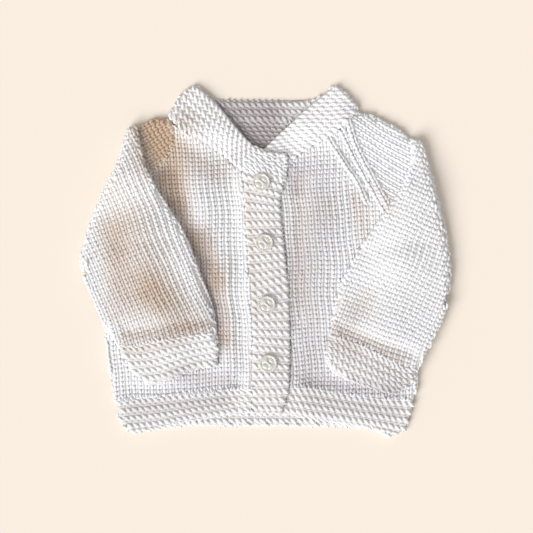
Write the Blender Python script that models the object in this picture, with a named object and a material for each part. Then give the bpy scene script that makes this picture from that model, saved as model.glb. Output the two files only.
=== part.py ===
"""Hand-knitted baby cardigan, laid flat and buttoned, with both sleeves folded over the front.

The tables are in millimetres: X to the right, Y towards the neck, Z up from the surface that
the garment lies on. The wearer's right is at -X. Every knitted piece is a wall of cloth. The
back lies on the surface, the fronts lie on the back, the overlapping ends lie on the fronts,
and each sleeve is a flattened tube that leaves its raglan seam, turns over at a crease and
comes back over the front to its cuff.
"""
import math

import bmesh
import bpy
from mathutils import Vector

# Driving sizes, in millimetres
WALL = 2.2             # thickness of one layer of the knitting
GAP = 0.3              # clearance between two layers that lie on each other
SEAM = 0.22            # each piece stops this far short of a seam line
CUFF_WALL = 2.4        # garter stitch is a little thicker
LAYER = WALL + GAP     # rise from one layer to the next
SLEEVE_HEIGHT = 2 * WALL + GAP
CUFF_HEIGHT = 2 * CUFF_WALL + GAP
BAND_CLIMB = 9.0       # the right front rises to the band on top over this width
HIDDEN_START = 0.04    # the button band starts and ends inside the band on top of it,
HIDDEN_WIDTH = 0.95    # as shares of that band's width

BUTTON_RADIUS = 6.35
BUTTON_HEIGHT = 2.8
BUTTON_RIM = 1.3
BUTTON_DISH = 0.7
HOLE_RADIUS = 0.8
HOLE_SPREAD = 1.45     # from the button's centre to each of its four holes
BUTTON_SIDES = 28
HOLE_SIDES = 8

SLEEVE_COLUMNS = 9     # facets across a sleeve
CUFF_ROWS = 4
NECKBAND_COLUMNS = 4
FOLD_STEPS = 6         # facets round each fold

MM = 0.001
UP = Vector((0.0, 0.0, 1.0))

# Seam lines that two pieces share, each as (x, y)
RIGHT_RAGLAN = [(-113, 0), (-97, 33), (-79, 64), (-74, 71), (-67.5, 79), (-64, 88), (-64, 95.5)]
LEFT_RAGLAN = [(113, -14), (100, 12), (87.5, 36), (75, 58), (62, 84), (58.5, 93), (58.8, 101)]
RIGHT_SIDE = [(-107, -99.7), (-111, -75), (-113, -56), (-113.5, -25), (-113, 0)]
LEFT_SIDE = [(107, -99.7), (110.5, -78), (113, -60), (113.5, -35), (113, -14)]
HEM_LINE_RIGHT = [(-107, -99.7), (-69, -96), (-28.5, -92.5), (-9.3, -92)]
HEM_LINE_MIDDLE = [(-9.3, -92), (17.6, -91)]
HEM_LINE_LEFT = [(17.6, -91), (33, -91.3), (58, -95.5), (83, -99), (107, -99.7)]

# Inner edge and outer edge of the front band, from the neckband to the foot
BAND_INNER = [(-16.3, 64.5), (-15, 52), (-13.6, 31), (-12, 2), (-9.8, -27), (-8.7, -57), (-9.3, -92)]
BAND_OUTER = [(14, 55.5), (10.8, 45), (11.5, 31), (14.6, 4), (17.2, -20), (18.2, -60), (17.6, -91)]
BAND_FOOT = {"inner": (-9, -107.8), "outer": (12, -108.6)}

# Neckband rows from the end of the upper flap to the fold at the right shoulder:
# the neck edge, the sewn edge, and how many layers the row lies above the back
FLAP_ROWS = [
    # neck x, neck y, sewn x, sewn y, layer
    (15.0, 77.0, 14.0, 56.0, 2.0),
    (8.0, 77.4, 0.0, 60.0, 2.0),
    (1.0, 77.6, -16.3, 65.0, 2.0),
    (-6.0, 80.5, -22.0, 69.5, 2.0),
    (-14.0, 88.0, -28.0, 75.3, 1.45),
    (-22.5, 98.0, -37.0, 81.0, 1.0),
    (-28.5, 106.0, -46.0, 87.8, 1.0),
    (-34.5, 113.5, -54.0, 91.4, 1.0),
    (-42.0, 120.0, -62.0, 96.6, 1.0),
]
RIGHT_CREASE = [(-48.5, 125.2), (-54, 123.3), (-60, 118.2), (-64.4, 111), (-68.2, 103.2)]
BACK_ROWS = [
    (-42.5, 118.5, -57.0, 97.2, 0.0),
    (-35.5, 115.2, -45.0, 97.0, 0.0),
    (-20.0, 114.6, -24.0, 99.4, 0.0),
    (0.0, 114.5, 0.0, 100.0, 0.0),
    (20.0, 114.8, 24.0, 99.6, 0.0),
    (36.5, 115.6, 43.0, 98.4, 0.0),
    (43.5, 118.5, 53.0, 101.5, 0.0),
]
LEFT_CREASE = [(49.8, 125), (55.5, 122.8), (60.3, 118.3), (64, 113), (66.8, 107.6)]
UNDERLAP_ROWS = [
    (43.0, 119.4, 58.5, 101.5, 1.0),
    (37.5, 115.0, 53.5, 94.5, 1.0),
    (29.0, 108.0, 46.5, 89.4, 1.0),
    (21.5, 100.8, 38.5, 85.6, 1.0),
    (14.5, 94.5, 31.0, 81.0, 1.0),
    (8.0, 88.2, 23.0, 75.3, 1.0),
    (1.0, 81.4, 13.0, 63.0, 1.0),
    (-4.0, 77.4, 2.0, 60.4, 1.0),
    (-9.0, 76.0, -9.0, 63.4, 1.0),
]

# Edges of the hem bands: the foot of the back, and of the two fronts lying on it
BACK_FOOT = [(-94, -123), (-82, -121), (-65, -118.8), (-52, -117.4), (0, -117.4),
             (56, -118), (73, -119.5), (83, -122.4), (90.4, -125.3)]
BACK_FOOT_ENDS = {"right": [(-94, -123), (-99.7, -119.5), (-103.3, -113.5), (-107, -99.7)],
                  "left": [(90.4, -125.3), (97, -122.8), (102, -118), (104.8, -109), (107, -99.7)]}
RIGHT_FOOT = [(-94, -122.4), (-80, -119.6), (-63, -116), (-38, -111.6), (-9, -107.8)]
LEFT_FOOT = [(12, -108.6), (30, -112), (54, -115), (77, -118.6), (90.4, -124.6)]

SLEEVES = {
    "right": {
        "raglan": list(reversed(RIGHT_RAGLAN)),
        "raglan_top": (-67, 100.5),
        "shoulder": [(-67, 100.5), (-80, 101), (-92.4, 94)],
        "underarm": [(-113, 0), (-127.2, -8)],
        "crease": [(-97, 95.8), (-101.3, 81), (-104.6, 70), (-110.5, 58), (-116.3, 47),
                   (-121, 35), (-125, 24), (-128.5, 12), (-131.2, 2), (-130.4, -6)],
        "inner": [(-92.4, 94), (-86.5, 68), (-77.4, 50), (-69, 37.5), (-59, 20.5), (-52, 5),
                  (-44, -17.5), (-37.5, -33), (-35, -51.5)],
        "outer": [(-127.2, -8), (-128.3, -13.5), (-121.5, -28), (-114, -45), (-104, -60)],
        "cuff_line": [(-35, -51.5), (-52, -53.3), (-72, -56.4), (-92, -61), (-104, -60)],
        "cuff_inner": [(-35, -51.5), (-33.8, -62), (-35, -74)],
        "cuff_outer": [(-104, -60), (-100, -72), (-92, -81.5), (-82, -88)],
        "cuff_foot": [(-35, -74), (-47, -76), (-58.7, -79.9), (-70.3, -84.2), (-82, -88)],
    },
    "left": {
        "raglan": list(reversed(LEFT_RAGLAN)),
        "raglan_top": (66, 105.5),
        "shoulder": [(66, 105.5), (76, 103.8), (93, 96), (106.3, 85)],
        "underarm": [(113, -14), (127.5, -25)],
        "crease": [(111, 86), (114.6, 77), (117, 67), (120.5, 55), (123.5, 43), (126.3, 31),
                   (129, 19), (131, 7), (132.4, -8), (131.2, -23)],
        "inner": [(106.3, 85), (105.5, 69), (98.6, 51), (87.5, 36), (81.4, 26.5), (69, 9),
                  (57, -13), (50.8, -32.5), (47.2, -53)],
        "outer": [(127.5, -25), (129.6, -33), (127.4, -40), (122, -51), (116.3, -62.6), (109, -77)],
        "cuff_line": [(47.2, -53), (66.6, -59.4), (86.3, -69), (100, -76.5), (109, -77)],
        "cuff_inner": [(47.2, -53), (44.8, -62), (45.5, -73)],
        "cuff_outer": [(109, -77), (105.5, -85), (99.5, -90.5), (91, -93.6)],
        "cuff_foot": [(45.5, -73), (51, -80), (66.6, -86.4), (79, -90.6), (91, -93.6)],
    },
}

BUTTONS = [
    # x, y
    (-2.3, 56.2),
    (-0.1, 13.0),
    (1.5, -31.2),
    (2.7, -73.2),
]

# Colour, roughness
YARN = ((0.86, 0.85, 0.83, 1.0), 0.9)
GARTER = ((0.82, 0.81, 0.78, 1.0), 0.9)
CLEAR_PLASTIC = ((0.72, 0.74, 0.66, 1.0), 0.2)


def make_material(name, finish):
    """One Principled material in a single colour."""
    colour, roughness = finish
    material = bpy.data.materials.new(name)
    material.use_nodes = True
    shader = material.node_tree.nodes["Principled BSDF"]
    shader.inputs["Base Color"].default_value = colour
    shader.inputs["Roughness"].default_value = roughness
    shader.inputs["Metallic"].default_value = 0.0
    material.diffuse_color = colour
    return material


def add_object(name, mesh, finish):
    """Link a mesh as one named piece with its own material, shaded smooth."""
    mesh.materials.append(make_material(name, finish))
    mesh.shade_smooth()
    mesh.set_sharp_from_angle(angle=math.radians(45))
    piece = bpy.data.objects.new(name, mesh)
    bpy.context.collection.objects.link(piece)
    return piece


def spread(points, count):
    """Place count + 1 points on a polyline, keeping every corner of it."""
    corners = [Vector(point) for point in points]
    lengths = [(b - a).length for a, b in zip(corners, corners[1:])]
    shares = [1] * len(lengths)
    while sum(shares) < count:
        longest = max(range(len(lengths)), key=lambda i: lengths[i] / shares[i])
        shares[longest] += 1
    placed = [corners[0]]
    for start, end, share in zip(corners, corners[1:], shares):
        placed += [start.lerp(end, step / share) for step in range(1, share + 1)]
    return placed


def patch(first_row, last_row, first_side, last_side, rows, columns):
    """Fill four meeting edges with rows of points (a Coons patch).

    The sides run from first_row to last_row; each row runs from first_side to last_side.
    """
    foot = spread(first_row, columns)
    head = spread(last_row, columns)
    near = spread(first_side, rows)
    far = spread(last_side, rows)
    grid = []
    for i in range(rows + 1):
        v = i / rows
        line = []
        for j in range(columns + 1):
            u = j / columns
            across = foot[j].lerp(head[j], v) + near[i].lerp(far[i], u)
            corners = foot[0].lerp(foot[-1], u).lerp(head[0].lerp(head[-1], u), v)
            line.append(across - corners)
        grid.append(line)
    return grid


def inset_grid(grid, margin):
    """Draw all four edges of a grid in by a margin, so that it stops short of its seams."""
    rows = [[point.copy() for point in line] for line in grid]
    for line in rows:
        line[0] += (line[1] - line[0]).normalized() * margin
        line[-1] += (line[-2] - line[-1]).normalized() * margin
    for j in range(len(rows[0])):
        rows[0][j] += (rows[1][j] - rows[0][j]).normalized() * margin
        rows[-1][j] += (rows[-2][j] - rows[-1][j]).normalized() * margin
    return rows


def cross_section(centres, normal, half, round_ends):
    """One closed ring round a row of centre points: above them, a rounded end, below, an end."""
    start_out = (centres[0] - centres[1]).normalized()
    end_out = (centres[-1] - centres[-2]).normalized()
    row = [point.copy() for point in centres]
    row[0] = centres[0] - start_out * half
    row[-1] = centres[-1] - end_out * half
    above = [point + normal * half for point in row]
    below = [point - normal * half for point in reversed(row)]
    end_tip = [row[-1] + end_out * half * math.cos(a) + normal * half * math.sin(a) for a in round_ends]
    start_tip = [row[0] + start_out * half * math.cos(a) - normal * half * math.sin(a) for a in round_ends]
    return above + end_tip + below + start_tip


THIN_EDGE = [0.0]
ROUND_EDGE = [math.pi / 4, 0.0, -math.pi / 4]


def cap(shape, ring, flip):
    """Close the end of a wall with a strip of faces that follows the row, however it curves."""
    half = len(ring) // 2
    tips = len(THIN_EDGE)
    last = half - tips - 1
    faces = [ring[last:half + 1], [ring[-2 * tips], ring[-1], ring[0]]]
    for k in range(last):
        faces.append([ring[k], ring[k + 1], ring[half + last - k - 1], ring[half + last - k]])
    for face in faces:
        shape.faces.new(reversed(face) if flip else face)


def loft(name, rings, finish, inner=None):
    """Join rings of points into one closed wall; inner rings hollow it into a tube."""
    mesh = bpy.data.meshes.new(name)
    shape = bmesh.new()

    def skin(sections, outward):
        loops = [[shape.verts.new(point * MM) for point in ring] for ring in sections]
        count = len(loops[0])
        for ring, following in zip(loops, loops[1:]):
            for k in range(count):
                face = [ring[k], ring[(k + 1) % count], following[(k + 1) % count], following[k]]
                shape.faces.new(face if outward else reversed(face))
        return loops

    outer_loops = skin(rings, True)
    if inner is None:
        cap(shape, outer_loops[0], False)
        cap(shape, outer_loops[-1], True)
    else:
        inner_loops = skin(inner, False)
        for outer_ring, inner_ring, flip in ((outer_loops[0], inner_loops[0], False),
                                             (outer_loops[-1], inner_loops[-1], True)):
            count = len(outer_ring)
            for k in range(count):
                n = (k + 1) % count
                face = [outer_ring[k], inner_ring[k], inner_ring[n], outer_ring[n]]
                shape.faces.new(reversed(face) if flip else face)
    bmesh.ops.recalc_face_normals(shape, faces=shape.faces)
    shape.to_mesh(mesh)
    shape.free()
    return add_object(name, mesh, finish)


def flat_panel(name, grid, height, finish, wall=WALL):
    """A panel of cloth that lies flat: height gives the underside's level at each point."""
    rings = []
    for line in inset_grid(grid, SEAM):
        centres = [Vector((p.x, p.y, height(p.x, p.y) + wall / 2)) for p in line]
        rings.append(cross_section(centres, UP, wall / 2, THIN_EDGE))
    return loft(name, rings, finish)


def level(layer):
    """A height rule for a panel that lies level, this many layers above the surface."""
    return lambda x, y: layer * LAYER


def band_edge_at(y):
    """X of the front band's sewn edge at a given Y."""
    rows = sorted((point[1], point[0]) for point in BAND_INNER + [BAND_FOOT["inner"]])
    for (low, x_low), (high, x_high) in zip(rows, rows[1:]):
        if y <= high:
            share = max(0.0, (y - low) / (high - low))
            return x_low + (x_high - x_low) * share
    return rows[-1][1]


def rise_to_band(x, y):
    """The right front lies on the back, and climbs one layer to meet the band on top."""
    share = min(1.0, max(0.0, 1.0 + (x - band_edge_at(y)) / BAND_CLIMB))
    return LAYER + LAYER * share * share * (3.0 - 2.0 * share)


def make_body():
    """Back, two fronts and the garter hem bands of all three."""
    hem_line = HEM_LINE_RIGHT + HEM_LINE_MIDDLE[1:] + HEM_LINE_LEFT[1:]
    back_neck = [RIGHT_RAGLAN[-1], (-57, 96.6), (-45, 96.5), (-24, 99), (0, 99.6), (24, 99.2),
                 (43, 97.9), (53, 100.8), LEFT_RAGLAN[-1]]
    back = patch(hem_line, back_neck, RIGHT_SIDE + RIGHT_RAGLAN[1:], LEFT_SIDE + LEFT_RAGLAN[1:], 12, 12)
    flat_panel("back", back, level(0), YARN)

    right_centre = list(reversed(BAND_INNER))
    right_centre += [(-22, 69), (-28, 74.8), (-37, 80.5), (-46, 87.3), (-54, 90.9), (-61.6, 95.8)]
    right = patch(HEM_LINE_RIGHT, [RIGHT_RAGLAN[-1], (-62.8, 95.7), (-61.6, 95.8)],
                  RIGHT_SIDE + RIGHT_RAGLAN[1:], right_centre, 16, 10)
    flat_panel("right_front", right, rise_to_band, YARN)

    left_centre = list(reversed(BAND_OUTER))
    left_centre += [(22.7, 74.4), (31, 80.3), (38.6, 84.9), (46.6, 88.7), (53.9, 93.6), (58, 99.2)]
    left = patch(list(reversed(HEM_LINE_LEFT)), [LEFT_RAGLAN[-1], (58.5, 100.1), (58, 99.2)],
                 LEFT_SIDE + LEFT_RAGLAN[1:], left_centre, 16, 8)
    flat_panel("left_front", left, level(1), YARN)

    back_hem = patch(BACK_FOOT, hem_line, BACK_FOOT_ENDS["right"], BACK_FOOT_ENDS["left"], 4, 14)
    flat_panel("back_hem", back_hem, level(0), GARTER)
    right_hem = patch(RIGHT_FOOT, HEM_LINE_RIGHT, BACK_FOOT_ENDS["right"],
                      [(-9, -107.8), (-9.3, -92)], 4, 8)
    flat_panel("right_front_hem", right_hem, rise_to_band, GARTER)
    left_hem = patch(LEFT_FOOT, HEM_LINE_LEFT, [(12, -108.6), (17.6, -91)],
                     BACK_FOOT_ENDS["left"], 4, 8)
    flat_panel("left_front_hem", left_hem, level(1), GARTER)


def make_front_bands():
    """The buttonhole band on top and the button band that it hides."""
    inner = list(reversed(BAND_INNER + [BAND_FOOT["inner"]]))
    outer = list(reversed(BAND_OUTER + [BAND_FOOT["outer"]]))
    foot = [BAND_FOOT["inner"], BAND_FOOT["outer"]]
    head = [BAND_INNER[0], BAND_OUTER[0]]
    band = patch(foot, head, inner, outer, 14, 4)
    flat_panel("buttonhole_band", band, level(2), GARTER)

    # The hidden band is as long and nearly as wide, one layer down
    shares = [HIDDEN_START + HIDDEN_WIDTH * j / 4 for j in range(5)]
    hidden = [[line[0].lerp(line[-1], share) for share in shares] for line in band]
    flat_panel("button_band", hidden, level(1), GARTER)


def fold_rows(crease, outward_sign, steps):
    """Rows that carry the neckband over a shoulder, from the front's layer down to the back's."""
    points = [Vector(point) for point in crease]
    along = (points[-1] - points[0]).normalized()
    outward = Vector((along.y, -along.x)) * outward_sign
    radius = LAYER / 2
    rows = []
    for step in range(steps + 1):
        turn = math.pi * step / steps
        shift = outward * (radius * math.sin(turn) - radius - WALL / 2)
        normal = Vector((outward.x * math.sin(turn), outward.y * math.sin(turn), math.cos(turn)))
        height = radius + WALL / 2 + radius * math.cos(turn)
        rows.append(([Vector((p.x + shift.x, p.y + shift.y, height)) for p in points], normal))
    return rows


def strip_rows(table, normal_sign):
    """Rows of the neckband where it lies flat."""
    rows = []
    for neck_x, neck_y, sewn_x, sewn_y, layer in table:
        height = layer * LAYER + WALL / 2
        neck = Vector((neck_x, neck_y, height))
        sewn = Vector((sewn_x, sewn_y, height))
        points = [neck.lerp(sewn, j / NECKBAND_COLUMNS) for j in range(NECKBAND_COLUMNS + 1)]
        rows.append((points, UP * normal_sign))
    return rows


def make_neckband():
    """One strip: the upper flap, over the right shoulder, the back neck, and down the left side."""
    rows = strip_rows(FLAP_ROWS, 1)
    rows += fold_rows(RIGHT_CREASE, 1, FOLD_STEPS)
    rows += strip_rows(BACK_ROWS, -1)
    rows += list(reversed(fold_rows(LEFT_CREASE, -1, FOLD_STEPS)))
    rows += strip_rows(UNDERLAP_ROWS, 1)
    rings = [cross_section(centres, normal, WALL / 2, THIN_EDGE) for centres, normal in rows]
    loft("neckband", rings, GARTER)


def sleeve_rows(plan):
    """Centre rows of a folded sleeve, each as (points, normal), from the raglan to the cuff."""
    half = SLEEVE_HEIGHT / 2
    radius = (SLEEVE_HEIGHT + GAP) / 2
    crease = [Vector(point) for point in plan["crease"]]
    along = (crease[-1] - crease[0]).normalized()
    side = 1 if crease[0].x > 0 else -1
    outward = Vector((-along.y, along.x)) * side
    columns = SLEEVE_COLUMNS
    crease_line = spread([point - outward * (half + radius) for point in crease], columns)

    raglan = [plan["raglan_top"]] + plan["raglan"]
    shoulder = plan["shoulder"][:-1] + [tuple(crease_line[0])]
    underarm = plan["underarm"][:-1] + [tuple(crease_line[-1])]
    laid = patch(raglan, [tuple(p) for p in crease_line], shoulder, underarm, 5, columns)
    inner = [tuple(crease_line[0])] + plan["inner"][1:]
    outer = [tuple(crease_line[-1])] + plan["outer"][1:]
    folded = patch([tuple(p) for p in crease_line], plan["cuff_line"], inner, outer, 10, columns)

    rows = [([Vector((p.x, p.y, half)) for p in line], UP) for line in laid[:-1]]
    for step in range(FOLD_STEPS + 1):
        turn = math.pi * step / FOLD_STEPS
        shift = outward * radius * math.sin(turn)
        height = half + radius * (1.0 - math.cos(turn))
        normal = Vector((-outward.x * math.sin(turn), -outward.y * math.sin(turn), math.cos(turn)))
        rows.append(([Vector((p.x + shift.x, p.y + shift.y, height)) for p in crease_line], normal))
    top = half + 2 * radius
    rows += [([Vector((p.x, p.y, top)) for p in line], -UP) for line in folded[1:]]
    return rows


def tube(name, rows, height, wall, finish):
    """A flattened tube of cloth round centre rows, open at both ends."""
    rings = []
    hollows = []
    slit = (height - 2 * wall) / 2
    for centres, normal in rows:
        rings.append(cross_section(centres, normal, height / 2, ROUND_EDGE))
        narrow = [point.copy() for point in centres]
        narrow[0] += (centres[1] - centres[0]).normalized() * wall
        narrow[-1] += (centres[-2] - centres[-1]).normalized() * wall
        hollows.append(cross_section(narrow, normal, slit, ROUND_EDGE))
    return loft(name, rings, finish, inner=hollows)


def shorten(rows, first, last):
    """Draw the first and last rows in from their seams."""
    for index, following, margin in ((0, 1, first), (-1, -2, last)):
        points = rows[index][0]
        beyond = rows[following][0]
        for k, point in enumerate(points):
            step = beyond[k] - point
            point += step.normalized() * margin if step.length > 0 else step
    return rows


def make_sleeves():
    """Both sleeves with their garter cuffs."""
    for side, plan in SLEEVES.items():
        rows = shorten(sleeve_rows(plan), SEAM * 1.6, SEAM)
        tube(side + "_sleeve", rows, SLEEVE_HEIGHT, WALL, YARN)
        cuff = patch(plan["cuff_line"], plan["cuff_foot"], plan["cuff_inner"], plan["cuff_outer"],
                     CUFF_ROWS, SLEEVE_COLUMNS)
        middle = SLEEVE_HEIGHT + GAP + CUFF_HEIGHT / 2
        cuff_rows = [([Vector((p.x, p.y, middle)) for p in line], -UP) for line in cuff]
        tube(side + "_cuff", shorten(cuff_rows, SEAM, 0.0), CUFF_HEIGHT, CUFF_WALL, GARTER)


def make_button(number, x, y):
    """A round button with a raised rim, a dished middle and four sewing holes."""
    rim_inner = BUTTON_RADIUS - BUTTON_RIM
    profile = [
        # radius, height
        (BUTTON_RADIUS - 0.9, 0.0),
        (BUTTON_RADIUS - 0.2, 0.6),
        (BUTTON_RADIUS, 1.4),
        (BUTTON_RADIUS - 0.3, BUTTON_HEIGHT - 0.3),
        (BUTTON_RADIUS - 0.8, BUTTON_HEIGHT),
        (rim_inner, BUTTON_HEIGHT - BUTTON_DISH / 2),
        (rim_inner - 1.0, BUTTON_HEIGHT - BUTTON_DISH),
    ]
    shape = bmesh.new()
    rings = []
    for radius, height in profile:
        ring = []
        for k in range(BUTTON_SIDES):
            turn = 2 * math.pi * k / BUTTON_SIDES
            point = Vector((radius * math.cos(turn), radius * math.sin(turn), height))
            ring.append(shape.verts.new(point * MM))
        rings.append(ring)
    for lower, upper in zip(rings, rings[1:]):
        for k in range(BUTTON_SIDES):
            n = (k + 1) % BUTTON_SIDES
            shape.faces.new((lower[k], lower[n], upper[n], upper[k]))
    shape.faces.new(reversed(rings[0]))
    shape.faces.new(rings[-1])
    name = "button_" + str(number)
    mesh = bpy.data.meshes.new(name)
    shape.to_mesh(mesh)
    shape.free()
    button = add_object(name, mesh, CLEAR_PLASTIC)
    button.location = (x * MM, y * MM, (3 * LAYER) * MM)

    for corner in range(4):
        turn = math.pi / 4 + math.pi / 2 * corner
        cut = bmesh.new()
        bmesh.ops.create_cone(cut, cap_ends=True, segments=HOLE_SIDES, radius1=HOLE_RADIUS * MM,
                              radius2=HOLE_RADIUS * MM, depth=4 * BUTTON_HEIGHT * MM)
        cut_mesh = bpy.data.meshes.new(name + "_hole")
        cut.to_mesh(cut_mesh)
        cut.free()
        cutter = bpy.data.objects.new(name + "_hole_" + str(corner), cut_mesh)
        bpy.context.collection.objects.link(cutter)
        cutter.parent = button
        cutter.location = (HOLE_SPREAD * math.cos(turn) * MM, HOLE_SPREAD * math.sin(turn) * MM, 0.0)
        cutter.hide_render = True
        cutter.display_type = "WIRE"
        drill = button.modifiers.new("Hole " + str(corner), "BOOLEAN")
        drill.operation = "DIFFERENCE"
        drill.solver = "EXACT"
        drill.object = cutter


def main():
    """Clear the scene and build every piece."""
    for leftover in list(bpy.data.objects):
        bpy.data.objects.remove(leftover)
    make_body()
    make_front_bands()
    make_neckband()
    make_sleeves()
    for number, (x, y) in enumerate(BUTTONS, start=1):
        make_button(number, x, y)


main()
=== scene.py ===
"""Looks of a hand-knitted baby cardigan, laid flat and buttoned with its sleeves folded over.

Each knitted piece is a thin core of cloth in the form of its frame solid, with the garment's
soft swells and creases. Stitches of real yarn lie on it: knit stitches on the plain parts,
ridges of purl bumps on the garter bands, and purl bumps inside the back of the neck.
Lengths are in metres unless a comment says mm.
"""
import math

import bmesh
import bpy
import numpy as np
from mathutils import Matrix, Vector
from mathutils.bvhtree import BVHTree
from mathutils.kdtree import KDTree


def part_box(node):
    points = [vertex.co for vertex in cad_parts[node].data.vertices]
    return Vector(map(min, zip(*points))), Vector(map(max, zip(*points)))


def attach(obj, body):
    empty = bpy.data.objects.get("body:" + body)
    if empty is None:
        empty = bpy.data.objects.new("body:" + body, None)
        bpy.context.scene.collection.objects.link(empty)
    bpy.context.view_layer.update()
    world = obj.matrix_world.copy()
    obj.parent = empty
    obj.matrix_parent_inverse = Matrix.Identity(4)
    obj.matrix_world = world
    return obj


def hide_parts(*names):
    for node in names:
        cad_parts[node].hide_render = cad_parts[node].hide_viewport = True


MM = 0.001
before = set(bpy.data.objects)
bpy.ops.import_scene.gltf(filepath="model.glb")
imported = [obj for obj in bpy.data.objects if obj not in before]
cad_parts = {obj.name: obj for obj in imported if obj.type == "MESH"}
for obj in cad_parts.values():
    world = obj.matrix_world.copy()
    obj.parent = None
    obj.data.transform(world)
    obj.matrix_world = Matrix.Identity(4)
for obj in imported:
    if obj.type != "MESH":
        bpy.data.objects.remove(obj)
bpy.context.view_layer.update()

# ---------------------------------------------------------------- sizes of the knitting, in mm
STITCH = 4.46          # width of one stitch
ROW = 3.24             # height of one row of plain knitting
YARN = 1.12            # radius of the yarn where a stitch is fullest
SEED = 11

CORE_EDGE = 4.5        # edges of a core that are longer than this are halved
REFINE_PASSES = 4      # and this many times at most
CORE_INSET = 0.5       # a core's faces lie this far below and above those of its solid
SEAM_CLOSE = 0.32      # and its sides reach this far out, to close the seams
UNDER_ROOM = 0.9       # room for the flattened stitches under a core
RESTING = 0.02         # no stitch is lower than this

# ---------------------------------------------------------------- light and camera
KEY_FROM = (-0.62, -0.62, 0.72)        # the way to the light
KEY_STRENGTH = 2.95
KEY_SPREAD = 38.0      # degrees
SKY_COLOUR = (1.0, 0.98, 0.97, 1.0)
SKY_STRENGTH = 0.5
FLOOR_HALF = 3.0       # metres
FLOOR_COLOUR = (0.87, 0.79, 0.695, 1.0)
VIEW_CENTRE = (1.44, -3.96)    # mm
VIEW_WIDTH = 383.8     # mm of the floor across the frame
LENS = 100.0
SENSOR = 36.0

# ---------------------------------------------------------------- colours of the yarn, with painted shade and painted highlight
WHITE = (0.855, 0.862, 0.88, 1.0)
# Painted warm shade, painted grey shade and painted highlight, mixed into the white
WARM_SHADE_PAINT = (0.57, 0.425, 0.305, 1.0)
GREY_SHADE_PAINT = (0.5, 0.46, 0.48, 1.0)
HIGHLIGHT_PAINT = (0.98, 0.99, 1.0, 1.0)
# The yarn deep between the stitches, painted darker than the white as the shade there, in two tones mixed by
# noise, then its own painted warm shade, grey shade and highlight
DEEP_SHADE_PAINT_PAIR = ((0.68, 0.645, 0.63, 1.0), (0.8, 0.775, 0.765, 1.0))
DEEP_WARM_SHADE_PAINT = (0.5, 0.37, 0.26, 1.0)
DEEP_GREY_SHADE_PAINT = (0.42, 0.38, 0.38, 1.0)
DEEP_HIGHLIGHT_PAINT = (0.97, 0.97, 0.98, 1.0)
PLASTIC_PAIR = ((0.92, 0.91, 0.82, 1.0), (0.98, 0.97, 0.91, 1.0))
PLY_TURNS = 11.0       # twists of the plies along a stitch, in radians
THREE_PLIES = 18.85    # and round the strand, three full turns

# ---------------------------------------------------------------- relief of the garment
# Soft ridges (+) and troughs (-) of the fronts and all that lies on them, in mm
SWELLS = [
    # from x, from y, to x, to y, half width, height
    (-52.0, 52.0, -34.0, -10.0, 17.0, 2.6),
    (-30.0, -10.0, -26.0, -72.0, 12.0, 2.2),
    (-84.0, 20.0, -76.0, -40.0, 26.0, 2.0),
    (46.0, 60.0, 42.0, -40.0, 17.0, 2.6),
    (92.0, 30.0, 88.0, -50.0, 24.0, 2.0),
    (58.0, -72.0, 84.0, -84.0, 12.0, 1.0),
    (-70.0, -74.0, -60.0, -80.0, 16.0, 1.0),
    (-60.0, 98.0, -30.0, 92.0, 11.0, 2.6),
    (56.0, 100.0, 30.0, 94.0, 11.0, 2.4),
    (0.0, 60.0, 4.0, -90.0, 13.0, 1.2),
    (26.0, 55.0, 25.0, -45.0, 5.0, -1.3),
    (-21.0, 50.0, -15.0, -75.0, 4.5, -0.8),
    (-66.0, 62.0, -42.0, 0.0, 8.0, -2.2),
    (-42.0, 0.0, -33.0, -50.0, 6.0, -1.4),
    (30.0, -86.0, 96.0, -94.0, 4.0, -0.9),
    (-96.0, -93.0, -18.0, -87.0, 4.0, -0.9),
]
# The same for what shows of the sleeves, lifting only their upper wall
SLEEVE_SWELLS = [
    (-98.0, 58.0, -86.0, 20.0, 20.0, 3.0),
    (-86.0, 0.0, -72.0, -36.0, 22.0, 2.2),
    (-112.0, 0.0, -104.0, -28.0, 10.0, 1.2),
    (-102.0, 10.0, -66.0, 16.0, 6.0, -0.9),
    (-96.0, -50.0, -44.0, -43.0, 4.2, -1.2),
    (106.0, 44.0, 98.0, 8.0, 20.0, 3.0),
    (92.0, -10.0, 78.0, -42.0, 22.0, 2.2),
    (74.0, 6.0, 112.0, 14.0, 6.0, -0.8),
    (54.0, -47.0, 104.0, -66.0, 4.2, -1.2),
]
RELIEF = 1.35                  # all of them are made this much higher
LAYERS_FROM = (2.25, 2.5)      # z in mm over which the fronts' swells take hold
SLEEVE_FROM = (6.6, 9.4)       # z in mm over which the sleeves' swells take hold


def smooth_step(low, high, value):
    """0 below low, 1 above high, and a smooth rise between them."""
    share = np.clip((value - low) / (high - low), 0.0, 1.0)
    return share * share * (3.0 - 2.0 * share)


def swell_height(table, x, y):
    """Sum of a table's ridges and troughs at points x, y, all in mm."""
    total = np.zeros_like(x)
    for x0, y0, x1, y1, width, height in table:
        dx, dy = x1 - x0, y1 - y0
        share = np.clip(((x - x0) * dx + (y - y0) * dy) / (dx * dx + dy * dy), 0.0, 1.0)
        away = (x - x0 - share * dx) ** 2 + (y - y0 - share * dy) ** 2
        total += height * np.exp(-away / (width * width))
    return total


def lift(points_mm):
    """Raise points by the garment's swells; what touches the surface stays on it."""
    x, y, z = points_mm[:, 0], points_mm[:, 1], points_mm[:, 2]
    shift = swell_height(SWELLS, x, y) * smooth_step(*LAYERS_FROM, z)
    shift += swell_height(SLEEVE_SWELLS, x, y) * smooth_step(*SLEEVE_FROM, z)
    shift *= RELIEF
    lifted = points_mm.copy()
    lifted[:, 2] = np.maximum(z + shift, np.minimum(z, 0.0))
    return lifted


# ---------------------------------------------------------------- nodes and materials
def feed(tree, socket, value):
    """Link or set one socket."""
    if isinstance(value, Maths):
        value = value.socket
    if isinstance(value, bpy.types.NodeSocket):
        tree.links.new(value, socket)
    else:
        socket.default_value = value


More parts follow.
